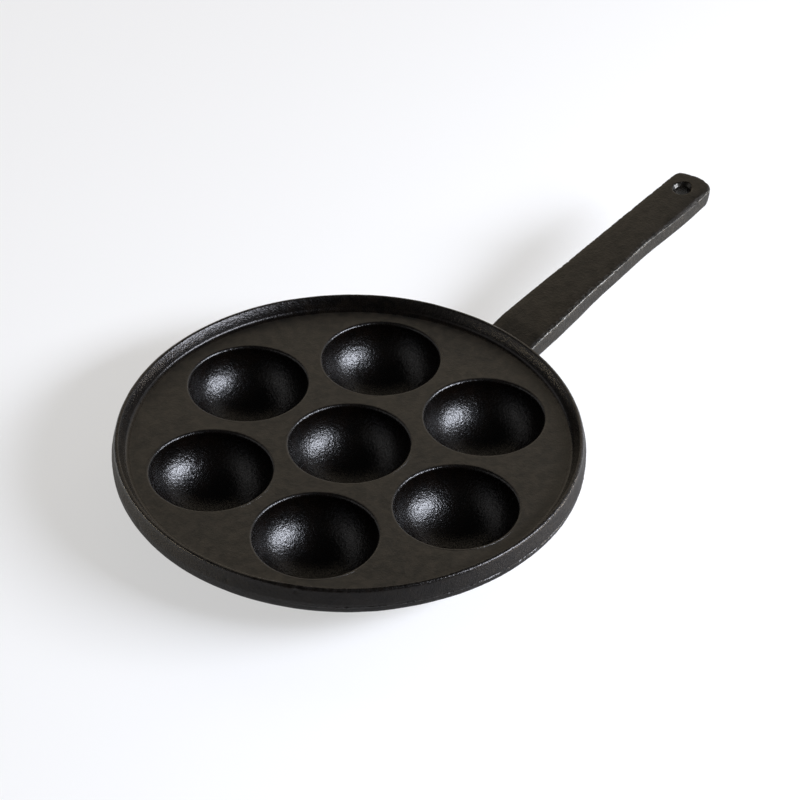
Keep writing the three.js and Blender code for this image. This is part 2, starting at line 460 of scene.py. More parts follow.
def well_profile():
    """Foot, outer half ellipse (r = a sin t, z = -b cos t), fillet under the deck, collar, land,
    rounded lip and inner half ellipse down to the axis."""
    bowl_radius = MOUTH_RADIUS - LIP_ROUND
    lip = deck_top - LIP_ROUND
    outer_radius = bowl_radius + WALL
    foot_angle = math.degrees(math.asin((FOOT_RADIUS + FOOT_ROUND) / outer_radius))
    outer_drop = (lip - FOOT_ROUND / 3) / math.cos(math.radians(foot_angle))
    shoulder = math.degrees(math.acos((lip - deck_under + UNDER_FILLET) / outer_drop))
    outside = quarter((0, lip), outer_radius, outer_drop, foot_angle, shoulder, 40)
    foot_edge = (FOOT_RADIUS - FOOT_ROUND, 0)
    flare = outside[-1] + [0.9 * UNDER_FILLET, UNDER_FILLET]
    return chain(
        line((0, 0), foot_edge, 6),
        bend(foot_edge, (FOOT_RADIUS + 0.4 * FOOT_ROUND, 0), outside[0], 7),
        outside,
        bend(outside[-1], (outside[-1][0] + 0.3, deck_under), flare, 9),
        line(flare, (hole_radius, deck_under), 3),
        line((hole_radius, deck_under), (hole_radius, deck_top), 3),
        line((hole_radius, deck_top), (MOUTH_RADIUS, deck_top), 4),
        quarter((MOUTH_RADIUS, lip), LIP_ROUND, LIP_ROUND, 180, 270, 9),
        quarter((0, lip), bowl_radius, well_depth - LIP_ROUND, 90, 0, 70),
    )


well_section, well_normals = well_profile()
print("a well's profile has", len(well_section), "points")

# %% Seven wells from one profile
WELL_COLUMNS = 180
LIP_MIDDLE, LIP_DEPTH, LIP_WIDTH = 0.3, 0.7, 0.9
LIP_WEAR, LIP_DRY = 0.06, 0.4
LEVEL_BELOW, LEVEL_RUN, LEVEL_LESS_SAND = 0.6, 0.5, 0.5
well_angles = np.linspace(0, 2 * np.pi, WELL_COLUMNS, endpoint=False)


def make_well(node, place):
    """A well turned at its place and laid with the cast skin. Its lip, a bell curve of height and
    reach, is worn and dry, and the ring that is level with the deck shows less sand."""
    points = turned(well_section, well_angles, place)
    points = points - turned(well_normals, well_angles) * cast_skin(points)[..., None]
    lip_height = points[..., 2] - deck_top + LIP_MIDDLE * LIP_ROUND
    lip_reach = np.hypot(points[..., 0] - place[0], points[..., 1] - place[1]) - MOUTH_RADIUS
    on_lip = np.exp(-((lip_height / LIP_DEPTH) ** 2) - (lip_reach / LIP_WIDTH) ** 2)
    level = smoothstep((points[..., 2] - deck_top + LEVEL_BELOW) / LEVEL_RUN)
    sand = 1 - LEVEL_LESS_SAND * level
    well = sheet(points, wrap=True, wear=LIP_WEAR * on_lip, sand=sand, dry=LIP_DRY * on_lip)
    make_piece(node + "_skin", [well], node, well_iron)


for node, place in zip(WELL_NODES, well_places):
    make_well(node, place)

# %% [markdown]
# ## The deck
# The deck is a plate with seven round holes. A grid can't have holes, so the plate is parted into
# seven cells, one round each well: a cell reaches from its hole to the lines halfway to the
# neighbouring wells, or to the foot of the rim. A cell is then a plain grid of angle and reach,
# and the cells merge along the lines that they share. Close to the rim the deck starts to rise.

# %% Reach of a deck cell
RIM_WIDTH = 8.3
TOE_RUN = 2.3
TOE_RISE = 0.06
TINY = 1e-6
rim_foot = pan_radius - RIM_WIDTH
toe_start = rim_foot - TOE_RUN


def toe(x, y):
    """Rise of the deck's border towards the rim, with the square of the way from toe_start."""
    return TOE_RISE * np.clip((np.hypot(x, y) - toe_start) / TOE_RUN, 0, 1) ** 2


def rim_reach(place, angles):
    """Distance from a place to the circle at the foot of the rim: the positive root s of
    |place + s u| = R."""
    along = place[0] * np.cos(angles) + place[1] * np.sin(angles)
    return -along + np.sqrt(along**2 - place @ place + rim_foot**2)


def halfway_reach(place, angles):
    """Distance from a place to the nearest line halfway to another well: half the gap d divided by
    the cosine between the direction and that well."""
    offsets = np.array([other - place for other in well_places if np.linalg.norm(other - place) > 1])
    gaps = np.linalg.norm(offsets, axis=1)
    cosine = (offsets[:, :1] * np.cos(angles) + offsets[:, 1:] * np.sin(angles)) / gaps[:, None]
    reaches = gaps[:, None] / 2 / np.maximum(cosine, TINY)
    return np.where(cosine > TINY, reaches, np.inf).min(axis=0)


def cell_angles(place):
    """Even angles, with the two directions added where the halfway lines meet the rim's foot."""
    if np.linalg.norm(place) < 1:
        return well_angles
    bearing = math.atan2(place[1], place[0])
    half_sector = math.pi / RING_WELLS
    ends = rim_foot * np.exp(1j * (bearing + half_sector * np.array([-1, 1]))) - complex(*place)
    return np.unique(np.concatenate([well_angles, np.angle(ends) % (2 * np.pi)]))


print("angles of the middle cell and of the next one:", *(len(cell_angles(p)) for p in well_places[:2]))

# %% Deck from seven cells
CELL_ROWS = 24
AT_RIM = 1e-3


def deck_cell(place):
    """Upper and lower face of one cell, the wall of its hole, and the outer wall where it reaches
    the rim: point = place + u (hole + s (reach - hole)), s from 0 to 1."""
    angles = cell_angles(place)
    to_rim, halfway = rim_reach(place, angles), halfway_reach(place, angles)
    reach = np.minimum(to_rim, halfway)
    radius = hole_radius + np.linspace(0, 1, CELL_ROWS)[:, None] * (reach - hole_radius)
    x, y = place[0] + radius * np.cos(angles), place[1] + radius * np.sin(angles)
    upper = np.stack([x, y, np.full_like(x, deck_top)], axis=-1)
    lower = np.stack([x, y, np.full_like(x, deck_under)], axis=-1)
    upper[..., 2] += cast_skin(upper) + toe(x, y)
    lower[..., 2] -= cast_skin(lower)
    face = grid_quads(CELL_ROWS, len(angles), wrap=True)
    wall = grid_quads(2, len(angles), wrap=True)
    at_rim = to_rim <= halfway + AT_RIM
    outer = wall[at_rim & np.roll(at_rim, -1)]
    hole_wall = np.stack([upper[0], lower[0]])
    outer_wall = np.stack([upper[-1], lower[-1]])
    return [sheet(upper, face), sheet(lower, face), sheet(hole_wall, wall), sheet(outer_wall, outer)]


deck_sheets = [part for place in well_places for part in deck_cell(place)]
make_piece("deck_skin", deck_sheets, "deck_plate", deck_iron)

# %% [markdown]
# ## The rim
# The rim rises from the deck in a fillet, stands steep at first, rolls outwards to a narrow top and
# falls away in a drafted wall, so that the pattern would leave the sand. It is widest at the parting
# line, where the two halves of the mould met, and its lower edge is rounded. The top's outer edge is
# well rounded except on one stretch, where it was filed and is sharper. So there are two profiles of
# equally many points, which can be mixed angle by angle.

# %% Measures of the rim
WALL_FOOT = (-5.9, 1.7)
WALL_TOP = (-3.7, -0.55)
FOOT_LEAN = math.tan(math.radians(20))
TOP_LEAN = math.tan(math.radians(33))
OUTER_LEAN = 1.2
ROUND_CROWN, ROUND_EDGE = 2.9, 1.6
SHARP_CROWN, SHARP_EDGE = 2.2, 0.7
PARTING_DROP = 0.6
LOWER_DROP = 3.6
LOWER_DRAFT = 0.15
UNDER_ROUND = 1.9
RIDGE_FROM, RIDGE_TO = 0.3, 0.77
rim_height = rim_top - deck_top
print(f"the rim is {rim_height:.1f} mm high and {RIM_WIDTH:.1f} mm wide")

# %% Rim profile


def corner(start, start_way, end, end_way):
    """Where two straight lines cross: start + s * start_way = end + u * end_way."""
    s, _ = np.linalg.solve(np.stack([start_way, -np.array(end_way)], axis=-1), np.array(end) - start)
    return start + s * np.array(start_way)


def rim_profile(crown_in, outer_round):
    """Seam, fillet, inner wall that rolls outwards, rounded top, straight outer wall, parting line,
    lower wall with finer steps for a ridge, rounded lower edge and underside, back to the seam.
    Heights are from the deck. The crown lies crown_in from the pan's edge, and the rounding past it
    takes outer_round of the height. Each curve heads for the corner where the lines along its two
    ends cross."""
    edge, top = np.array([pan_radius, 0]), np.array([pan_radius, rim_height])
    under = deck_under - deck_top
    seam, seam_under = np.array([rim_foot, TOE_RISE]), (rim_foot, under)
    wall_foot, wall_top = edge + WALL_FOOT, top + WALL_TOP
    crown, parting = top - [crown_in, 0], edge - [0, PARTING_DROP]
    outer_wall = top - [OUTER_LEAN, ROUND_EDGE] - parting
    outer_start = parting + outer_wall * (rim_height + PARTING_DROP - outer_round) / outer_wall[1]
    side_end = edge - [LOWER_DRAFT, LOWER_DROP]
    above_ridge = parting + RIDGE_FROM * (side_end - parting)
    below_ridge = parting + RIDGE_TO * (side_end - parting)
    underside = (pan_radius - UNDER_ROUND, under)
    toe_way, foot_way, top_way = (1, 2 * TOE_RISE / TOE_RUN), (FOOT_LEAN, 1), (TOP_LEAN, 1)
    profile, normals = chain(
        bend(seam, corner(seam, toe_way, wall_foot, foot_way), wall_foot, 14),
        bend(wall_foot, corner(wall_foot, foot_way, wall_top, top_way), wall_top, 14),
        bend(wall_top, corner(wall_top, top_way, crown, (1, 0)), crown, 8),
        bend(crown, corner(crown, (1, 0), outer_start, parting - outer_start), outer_start, 9),
        line(outer_start, parting, 9),
        line(parting, above_ridge, 3),
        line(above_ridge, below_ridge, 16),
        line(below_ridge, side_end, 3),
        bend(side_end, (pan_radius - 2 * LOWER_DRAFT, under), underside, 10),
        line(underside, seam_under, 5),
        line(seam_under, seam, 3),
    )
    return profile + [0, deck_top], normals


round_section, round_normals = rim_profile(ROUND_CROWN, ROUND_EDGE)
sharp_section, sharp_normals = rim_profile(SHARP_CROWN, SHARP_EDGE)
print("the rim's profiles have", len(round_section), "points each")

# %% Rim turned from two profiles
RIM_COLUMNS = 1100
SHARP_BEARING, SHARP_SPAN = 176, (0.82, 0.92)
rim_angles = np.linspace(0, 2 * np.pi, RIM_COLUMNS, endpoint=False)


def round_bearing(bearing, span):
    """1 close to a bearing in degrees and 0 far from it: a smooth step of the cosine of the angle
    between them, from span's first to its second number."""
    cosine = np.cos(rim_angles - math.radians(bearing))
    return smoothstep((cosine - span[0]) / (span[1] - span[0]))


sharper = round_bearing(SHARP_BEARING, SHARP_SPAN)[:, None]
rim_points = (1 - sharper) * turned(round_section, rim_angles)
rim_points = rim_points + sharper * turned(sharp_section, rim_angles)
rim_normals = (1 - sharper) * turned(round_normals, rim_angles)
rim_normals = rim_normals + sharper * turned(sharp_normals, rim_angles)
print("the rim's grid is", rim_points.shape[:2])

# %% [markdown]
# ### Ridge, roughness and nicks
# Low on the outer wall, metal that ran between the halves of the mould left a ragged ridge. It was
# filed down all round but for one stretch, where its grains, about 1 mm long, still catch the light.
# It has straight flanks, because a flat flank glints and a soft swell wouldn't. The wall beside it
# is rough from the sand, and a few nicks are left from handling: each is a bell-shaped dent at its
# own bearing and height.

# %% Rim shape
RAGGED_BEARING, RAGGED_SPAN, RAGGED_SHARE = -100, (0.6, 0.9), 0.95
RAGGED_MEAN, RAGGED_MOST = 0.85, 1.8
RAGGED_WAVES = ((1.5, 11, 0.5), (9, 12, 0.3))
RIDGE_DROP, RIDGE_HALF, RIDGE_HEIGHT = 2.2, 0.42, 0.36
ROUGH_LENGTH, ROUGH_SEED, ROUGH_HALF, ROUGH_HEIGHT = 2.2, 13, 4.0, 0.012
NICKS = ((-149.1, 4.4, 1.0, 0.55), (-166.0, 1.8, 1.1, 0.4), (164.0, -1.6, 1.6, 0.5))
crown_radius = pan_radius - ROUND_CROWN
rim_rise = rim_points[..., 2] - deck_top
reach = np.hypot(rim_points[..., 0], rim_points[..., 1])
outside = smoothstep((reach - crown_radius) / (ROUND_CROWN - OUTER_LEAN))
ragged = sum(amount * waves(rim_points, length, seed) for length, seed, amount in RAGGED_WAVES)
ragged = np.clip(RAGGED_MEAN + ragged, 0, RAGGED_MOST)
left_standing = RAGGED_SHARE * round_bearing(RAGGED_BEARING, RAGGED_SPAN)
flanks = np.clip(1 - np.abs(rim_rise + RIDGE_DROP) / RIDGE_HALF, 0, 1)
ridge = outside * flanks * ragged * left_standing
near_parting = np.exp(-(((rim_rise + PARTING_DROP) / ROUGH_HALF) ** 2))
rough_wall = outside * near_parting * waves(rim_points, ROUGH_LENGTH, ROUGH_SEED)
rim_offset = cast_skin(rim_points) + RIDGE_HEIGHT * ridge + ROUGH_HEIGHT * rough_wall
for bearing, height, width, depth in NICKS:
    arc = pan_radius * (np.mod(rim_angles - math.radians(bearing) + np.pi, 2 * np.pi) - np.pi)
    rim_offset -= depth * outside * np.exp(-(arc**2 + (rim_rise - height) ** 2) / width**2)
rim_points = rim_points + rim_normals * rim_offset[..., None]
rim_points[-1] = rim_points[0]
print(f"the ridge stands up to {RIDGE_HEIGHT * ridge.max():.2f} mm off the wall")

# %% Rim finish
INNER_SAND, INNER_MORE_SAND = 0.4, 0.25
SAND_RISE, SAND_RUN = 1.2, 1.5
CROWN_DROP, CROWN_RUN = 0.5, 2
# The rim's top band is painted a little of the worn grey: partly real wear, partly a painted highlight
# along the crown.
CROWN_WEAR_AND_HIGHLIGHT, CROWN_BAND = 0.12, 1.5
RIDGE_OIL, RIDGE_SPREAD = 1.2, 3
below_crown = outside * smoothstep((rim_height - CROWN_DROP - rim_rise) / CROWN_RUN)
inner_sand = INNER_SAND + INNER_MORE_SAND * smoothstep((rim_rise - SAND_RISE) / SAND_RUN)
rim_sand = inner_sand + (1.0 - inner_sand) * below_crown
crown_wear_and_highlight_band = smoothstep((rim_rise - rim_height + CROWN_BAND) / CROWN_BAND)
# The standing ridge and the crown are painted the worn grey: partly real wear, partly a painted glint and
# highlight.
rim_wear = np.clip(ridge, 0, 1) + CROWN_WEAR_AND_HIGHLIGHT * crown_wear_and_highlight_band
rim_dry = below_crown - RIDGE_OIL * np.clip(RIDGE_SPREAD * ridge, 0, 1)
rim_sheet = sheet(rim_points, wrap=True, wear=rim_wear, sand=rim_sand, dry=rim_dry)
make_piece("rim_skin", [rim_sheet], "rim", rim_iron)

# %% [markdown]
# ## The handle
# The handle is a flat bar that tapers from the pan to the tip and rises as it goes. Seen from above
# it has an outline, and across that outline a profile: a chamfered upper edge, a drafted side and a
# rounded lower edge. So the sides are that profile carried along the outline, and the upper and
# lower faces are grids stretched between the two sides. The outline isn't quite even: fettling left
# swells and hollows, the right side flares towards the tip, and the tip's blunt point lies a little
# to the right.

# %% Handle outline
ROOT_HALF = 13.8
TIP_HALF = 9.95
LEFT_WIDER = 0.35
TONGUE = 24.0
TONGUE_HALF = 10.5
TIP_LENGTH = 6.0
TIP_SQUARENESS = 4.2
LEFT_SQUARER = 0.8
TIP_FLARE, FLARE_START, FLARE_RUN = 2.15, 203, 42
TIP_SKEW, SKEW_BEFORE_TIP, SKEW_RUN = 0.19, 12, 14
POINT_TO_RIGHT, POINT_BLUNT = 2.5, 2
EDGE_SWELLS = ((-1, 134, 10, 0.35), (-1, 164, 10, -0.25), (1, 117, 8, -0.3), (1, 170, 14, -0.15))
NEAR = 1e-5
tip_start = handle_tip - TIP_LENGTH
tongue_end = pan_radius - TONGUE


def handle_outline(x, side):
    """Plan of one side, 1 for the left and -1 for the right: straight tapers from the tongue to the
    root and on to the tip, with bell-shaped swells and hollows, and a flare on the right. At the tip
    a superellipse, (1 - s^n)^(1/n), cuts the width down, and the end falls back to both sides of the
    blunt point along a hyperbola."""
    half = np.interp(x, [tongue_end, pan_radius, handle_tip], [TONGUE_HALF, ROOT_HALF, TIP_HALF])
    for of_side, middle, width, amount in EDGE_SWELLS:
        half = half + (of_side == side) * amount * np.exp(-(((x - middle) / width) ** 2))
    flare = TIP_FLARE * smoothstep((x - FLARE_START) / FLARE_RUN)
    half = half + np.where(side < 0, flare, LEFT_WIDER)
    s = np.clip((x - tip_start) / TIP_LENGTH, 0, 1)
    n = TIP_SQUARENESS + np.where(side > 0, LEFT_SQUARER, 0)
    y = side * half * (1 - s**n) ** (1 / n)
    skew = TIP_SKEW * (np.hypot(y + POINT_TO_RIGHT, POINT_BLUNT) - POINT_BLUNT)
    skew = skew * smoothstep((x - tip_start + SKEW_BEFORE_TIP) / SKEW_RUN)
    return np.stack([x - skew, y], axis=-1)


def handle_edge(x, side, inset):
    """The outline of one side moved inwards by inset, along normals from its own slope."""
    slope = handle_outline(np.minimum(x + NEAR, handle_tip), side) - handle_outline(x - NEAR, side)
    outwards = side * np.stack([-slope[..., 1], slope[..., 0]], axis=-1)
    outwards /= np.linalg.norm(outwards, axis=-1, keepdims=True)
    return handle_outline(x, side) - outwards * inset, outwards


print(f"handle from {tongue_end:.1f} to {handle_tip:.1f} mm")

# %% Heights of the handle
HANDLE_RISE = math.tan(math.radians(8.8))
HANDLE_DROP = 2.2
ROOT_TURN = 4
ROOT_DIP, DIP_END, DIP_RUN = 1.2, 128, 16
EDGE_FALL, FACE_FLATNESS = 0.3, 6
HANDLE_THICK = 9.0
TONGUE_THICK = 6.4
ROOT_THICKER = 1.6
ROOT_FADES = ((0.7, 148, 28), (0.3, 116, 16))


def handle_line(x):
    """The handle's middle line: level under the pan, then turning softly into a straight rise, as
    c log(1 + exp(x / c)) does."""
    rise = ROOT_TURN * np.log1p(np.exp((x - pan_radius) / ROOT_TURN))
    return deck_top - HANDLE_DROP + HANDLE_RISE * rise


def handle_top(x, y):
    """Height of the upper face: the middle line with a slight dip where it leaves the pan and a
    fall towards both edges."""
    dip = ROOT_DIP * smoothstep((DIP_END - x) / DIP_RUN)
    half = np.interp(x, [pan_radius, handle_tip], [ROOT_HALF, TIP_HALF])
    return handle_line(x) - dip - EDGE_FALL * np.abs(y / half) ** FACE_FLATNESS


def handle_bottom(x):
    """Height of the lower face: the middle line less the thickness, which is greatest at the root,
    fades from there in two steps and thins along the tongue."""
    fades = sum(part * (1 - smoothstep((x - start) / run)) for part, start, run in ROOT_FADES)
    thickness = np.interp(x, [tongue_end, pan_radius], [TONGUE_THICK - ROOT_THICKER, HANDLE_THICK])
    return handle_line(x) - thickness - ROOT_THICKER * fades


print(f"handle's upper face at the tip: {handle_top(handle_tip, 0.0):.1f} mm")

# %% [markdown]
# ### A hole in a grid
# The hanging hole passes through the two faces. A square block of quads is left out of the grid,
# and the square rings of points round it are eased into circles: a point at square distance q and
# true distance d from the middle is drawn to q / d of its place near the hole, and left alone
# further out. The hole's flared wall then starts on the innermost ring.

# %% Stations, columns and the hole
HOLE_BORE = 3.6
HOLE_FLARE = 2.1
HOLE_SETBACK = 11.2
FACE_INSET = 2.4
TIP_STATIONS = 34
EASE_SHARE = 0.97
hole_x = handle_tip - HOLE_SETBACK
hole_mouth = HOLE_BORE + HOLE_FLARE
hole_end = hole_x + hole_mouth
left_half = handle_edge(np.array([hole_x]), 1, FACE_INSET)[0][0, 1]
right_half = -handle_edge(np.array([hole_x]), -1, FACE_INSET)[0][0, 1]
hole_ease = EASE_SHARE * min(left_half, right_half)


def steps(*marks):
    """Values that run through the marks, with a given count of steps between each two:
    steps(0, 10, 5) runs from 0 to 5 in ten steps."""
    ends, counts = marks[::2], marks[1::2]
    runs = [np.linspace(a, b, n, endpoint=False) for a, b, n in zip(ends[:-1], ends[1:], counts)]
    return np.append(np.concatenate(runs), ends[-1])


hole_share = ((hole_end - tip_start) / TIP_LENGTH) ** (TIP_SQUARENESS / 2)
tip_way = np.linspace(1, 0, TIP_STATIONS) ** (TIP_SQUARENESS / 2)
tip_run = math.pi / 2 - math.acos(hole_share) * tip_way
tip_stations = tip_start + TIP_LENGTH * np.sin(tip_run) ** (2 / TIP_SQUARENESS)
hole_start = hole_x - hole_mouth
bar_stations = steps(tongue_end, 30, pan_radius, 190, hole_x - hole_ease, 6, hole_start, 16, hole_end)
stations = np.append(bar_stations[:-1], tip_stations)
columns_at_hole = steps(-right_half, 9, -hole_mouth, 16, hole_mouth, 7, left_half)
print("handle faces have", len(stations), "stations and", len(columns_at_hole), "columns")

# %% Squares eased into circles
along, across = np.meshgrid(stations, columns_at_hole, indexing="ij")
dx, dy = along - hole_x, across
square, true = np.maximum(np.abs(dx), np.abs(dy)), np.maximum(np.hypot(dx, dy), TINY)
ease = 1 - smoothstep((square - hole_mouth) / (hole_ease - hole_mouth))
draw = 1 + ease * (square / true - 1)
along, across = hole_x + dx * draw, dy * draw
row_in_hole = np.abs(stations - hole_x) <= hole_mouth + TINY
column_in_hole = np.abs(columns_at_hole) <= hole_mouth + TINY
in_hole = row_in_hole[:, None] & column_in_hole
face_quads = grid_quads(*in_hole.shape)
all_quads = len(face_quads)
face_quads = face_quads[~in_hole.ravel()[face_quads].all(axis=1)]
print("quads left out for the hole:", all_quads - len(face_quads))

# %% [markdown]
# ### Faces of the handle
# A face is stretched between the two sides: each point goes from a middle line towards the left or
# the right edge by its share of the half width. Past the hole the middle line runs on to the point
# where the two inset edges meet, so that the last row closes the face at the tip.

# %% Faces of the handle
TIP_CLOSING = 0.4
left_edge = handle_edge(along, 1, FACE_INSET)[0]
right_edge = handle_edge(along, -1, FACE_INSET)[0]
to_tip = np.clip((handle_tip - along) / (handle_tip - hole_end), 0, 1)
past_hole = 1 - to_tip[..., None] ** TIP_CLOSING
before_hole = np.dstack([np.minimum(along, hole_end), np.zeros_like(along)])
middle = before_hole + past_hole * (left_edge[-1, 0] - [hole_end, 0])
to_left, to_right = np.maximum(across, 0) / left_half, np.maximum(-across, 0) / right_half
plan = middle + to_left[..., None] * (left_edge - middle) + to_right[..., None] * (right_edge - middle)
plan[-1] = left_edge[-1]
upper_face = np.dstack([plan, handle_top(plan[..., 0], plan[..., 1])])
lower_face = np.dstack([plan, handle_bottom(plan[..., 0])])
upper_face[..., 2] += cast_skin(upper_face)
lower_face[..., 2] -= cast_skin(lower_face)
print("handle faces have", upper_face.shape, "points")

# %% [markdown]
# ### Wall of the hanging hole
# The wall is a profile carried round the ring of points that was left at the hole's edge. It rounds
# in from the upper face, slopes down a countersink, runs straight through the bore and flares out
# again below. The ring is gathered by walking round the block that was left out.

# %% Wall of the hanging hole
block_rows, block_columns = np.nonzero(row_in_hole)[0], np.nonzero(column_in_hole)[0]
ring_walk = [
    (np.full(len(block_columns) - 1, block_rows[0]), block_columns[:-1]),
    (block_rows[:-1], np.full(len(block_rows) - 1, block_columns[-1])),
    (np.full(len(block_columns) - 1, block_rows[-1]), block_columns[:0:-1]),
    (block_rows[:0:-1], np.full(len(block_rows) - 1, block_columns[0])),
]
ring_rows, ring_columns = np.concatenate(ring_walk, axis=1)
ring_top, ring_bottom = upper_face[ring_rows, ring_columns], lower_face[ring_rows, ring_columns]
sink_top = (hole_mouth - 0.85, 0.42)
sink_foot = (HOLE_BORE + 0.25, 1.75)
bore_top = (HOLE_BORE, 2.7)
bore_foot = (HOLE_BORE, HANDLE_THICK - 1.6)
hole_run, _ = chain(
    bend((hole_mouth, 0), (hole_mouth - 0.5, 0), sink_top, 6),
    line(sink_top, sink_foot, 6),
    bend(sink_foot, (HOLE_BORE, 2.1), bore_top, 5),
    line(bore_top, bore_foot, 9),
    bend(bore_foot, (HOLE_BORE, HANDLE_THICK), (hole_mouth, HANDLE_THICK), 9),
)
hole_middle = np.array([ring_top[:, 0].mean(), ring_top[:, 1].mean()])
hole_plan = hole_middle + (ring_top[:, :2] - hole_middle) * (hole_run[:, 0] / hole_mouth)[:, None, None]
depth_share = (hole_run[:, 1] / HANDLE_THICK)[:, None]
hole_height = ring_top[:, 2] + (ring_bottom[:, 2] - ring_top[:, 2]) * depth_share
hole_wall = np.dstack([hole_plan, hole_height])
print("hole wall:", hole_wall.shape)

# %% [markdown]
# ### Sides of the handle
# The upper edge is broken by a narrow chamfer with a small rounding. On the left it is hardly more
# than a sharp edge; on the right it widens towards the tip, where the hand has worn it. Every point
# of the profile moves evenly with the chamfer and with the rounding, so three profiles are enough to
# blend any other. At the tip the lower edge is tucked in. Short waves take small chips out of the
# upper edge, and on two runs it is rubbed rounder. Along the edge a ragged band is painted the grey
# of worn iron, strongest where the edge is roundest; this grey is partly real wear and partly a
# painted highlight.

# %% Profile of a side
CHAMFER_TILT = math.radians(20)
LOWER_ROUND = 2.4
SIDE_DRAFT = math.tan(math.radians(3))
PLAIN_CHAMFER, PLAIN_ROUNDING = 1.0, 0.5
CHAMFER_STEP, ROUNDING_STEP = 1.0, 0.1


def side_profile(chamfer, rounding):
    """Out from the outline and up from the face: flat border of the face, chamfer, rounded edge,
    drafted side and rounded lower edge."""
    widest = HANDLE_THICK - LOWER_ROUND
    bulge = SIDE_DRAFT * widest
    fall = np.array([math.cos(CHAMFER_TILT), -math.sin(CHAMFER_TILT)])
    inner, outer = np.array([-fall[0] * chamfer, 0]), np.array([0, fall[1] * chamfer])
    return chain(
        line((-FACE_INSET, 0), inner - [0.5 * rounding, 0], 5),
        bend(inner - [0.5 * rounding, 0], inner, inner + 0.5 * rounding * fall, 5),
        line(inner + 0.5 * rounding * fall, outer - rounding * fall, 6),
        bend(outer - rounding * fall, outer, outer - [0, rounding], 10),
        line(outer - [0, rounding], (bulge, -widest), 13),
        bend((bulge, -widest), (bulge + 0.1, -HANDLE_THICK), (-FACE_INSET, -HANDLE_THICK), 14),
    )


side_plain, side_normals = side_profile(PLAIN_CHAMFER, PLAIN_ROUNDING)
more_chamfer = side_profile(PLAIN_CHAMFER + CHAMFER_STEP, PLAIN_ROUNDING)[0] - side_plain
more_rounding = side_profile(PLAIN_CHAMFER, PLAIN_ROUNDING + ROUNDING_STEP)[0] - side_plain
print("a side's profile has", len(side_plain), "points")

# %% Side carried along the outline
TUCK_START = 2.0
at_tip = smoothstep((stations - tip_start) / TIP_LENGTH)


def side_shape(side, chamfer, rounding):
    """Points and normals of one side, with how far each point lies out from the outline and down
    from the face: point = outline + out * outwards, its height a share of the way from the upper to
    the lower face. At the tip, out is held inside a parabola that tucks the lower edge in."""
    run = side_plain + ((chamfer - PLAIN_CHAMFER) / CHAMFER_STEP)[..., None] * more_chamfer
    run = run + ((rounding - PLAIN_ROUNDING) / ROUNDING_STEP)[..., None] * more_rounding
    out, down = run[..., 0], -run[..., 1]
    tucked = -FACE_INSET * np.clip((down - TUCK_START) / (HANDLE_THICK - TUCK_START), 0, 1) ** 2
    out = out + at_tip[:, None] * (np.minimum(out, tucked) - out)
    base, outwards = handle_edge(stations, side, 0.0)
    plan = base[:, None, :] + outwards[:, None, :] * out[..., None]
    top, bottom = handle_top(plan[..., 0], plan[..., 1]), handle_bottom(plan[..., 0])
    points = np.dstack([plan, top + (bottom - top) * down / HANDLE_THICK])
    upright = np.broadcast_to(side_normals[:, 1], out.shape)
    normals = np.dstack([outwards[:, None, :] * side_normals[:, :1], upright])
    return points, normals, out, down


print("stations on the tip:", int((at_tip > 0).sum()))

# %% Side with chips and wear
CHIP_DEPTH, CHIP_MOST = 0.17, 1.5
CHIPS = ((3.2, 21, 0.7, 1.0), (1.3, 22, 0.6, 0.5))
EDGE_LEAST, EDGE_SPREAD = 0.3, 0.5
# The ragged grey band along the upper edge is partly real wear and partly a painted highlight.
WEAR_AND_GLINT_LENGTH, WEAR_AND_GLINT_SEED = 2.6, 23
WEAR_AND_GLINT_MEAN, WEAR_AND_GLINT_SWING, WEAR_AND_GLINT_MOST = 0.7, 0.6, 1.6
SIDE_BELOW, SIDE_RUN, SIDE_MORE_SAND = 0.3, 0.8, 1.2
WORN_OIL = 0.35


def handle_side(side, chamfer, rounding):
    """One side with its cast skin, chips and finish. Chamfer and rounding are given for every
    station. The edge is a bell curve of the way down; chips are what stands out of short waves."""
    chamfer, rounding = chamfer[:, None], rounding[:, None]
    points, normals, out, down = side_shape(side, chamfer, rounding)
    edge_drop = math.sin(CHAMFER_TILT) * chamfer + 0.25 * rounding
    inner = np.minimum(1.5 * chamfer + rounding, 0.95 * FACE_INSET)
    worn = np.exp(-(((down - edge_drop) / (EDGE_LEAST + EDGE_SPREAD * rounding)) ** 2))
    worn = worn * (out > -inner)
    chips = sum(
        amount * np.clip(waves(points, length, seed) - start, 0, CHIP_MOST)
        for length, seed, start, amount in CHIPS
    )
    points = points + normals * (cast_skin(points) - CHIP_DEPTH * worn * chips)[..., None]
    swing = WEAR_AND_GLINT_SWING * waves(points, WEAR_AND_GLINT_LENGTH, WEAR_AND_GLINT_SEED)
    ragged = np.clip(WEAR_AND_GLINT_MEAN + swing, 0, WEAR_AND_GLINT_MOST)
    # Painted grey on the edge: partly real wear, partly a painted highlight along the arris.
    wear = worn * np.clip(1.6 * rounding, 0, 1) * ragged
    on_side = smoothstep((down - edge_drop - SIDE_BELOW) / SIDE_RUN)
    return sheet(points, wear=wear, sand=1 + SIDE_MORE_SAND * on_side, dry=-WORN_OIL * wear)


print("the upper edge is chipped up to", CHIP_DEPTH * CHIP_MOST, "mm by each kind of chip")

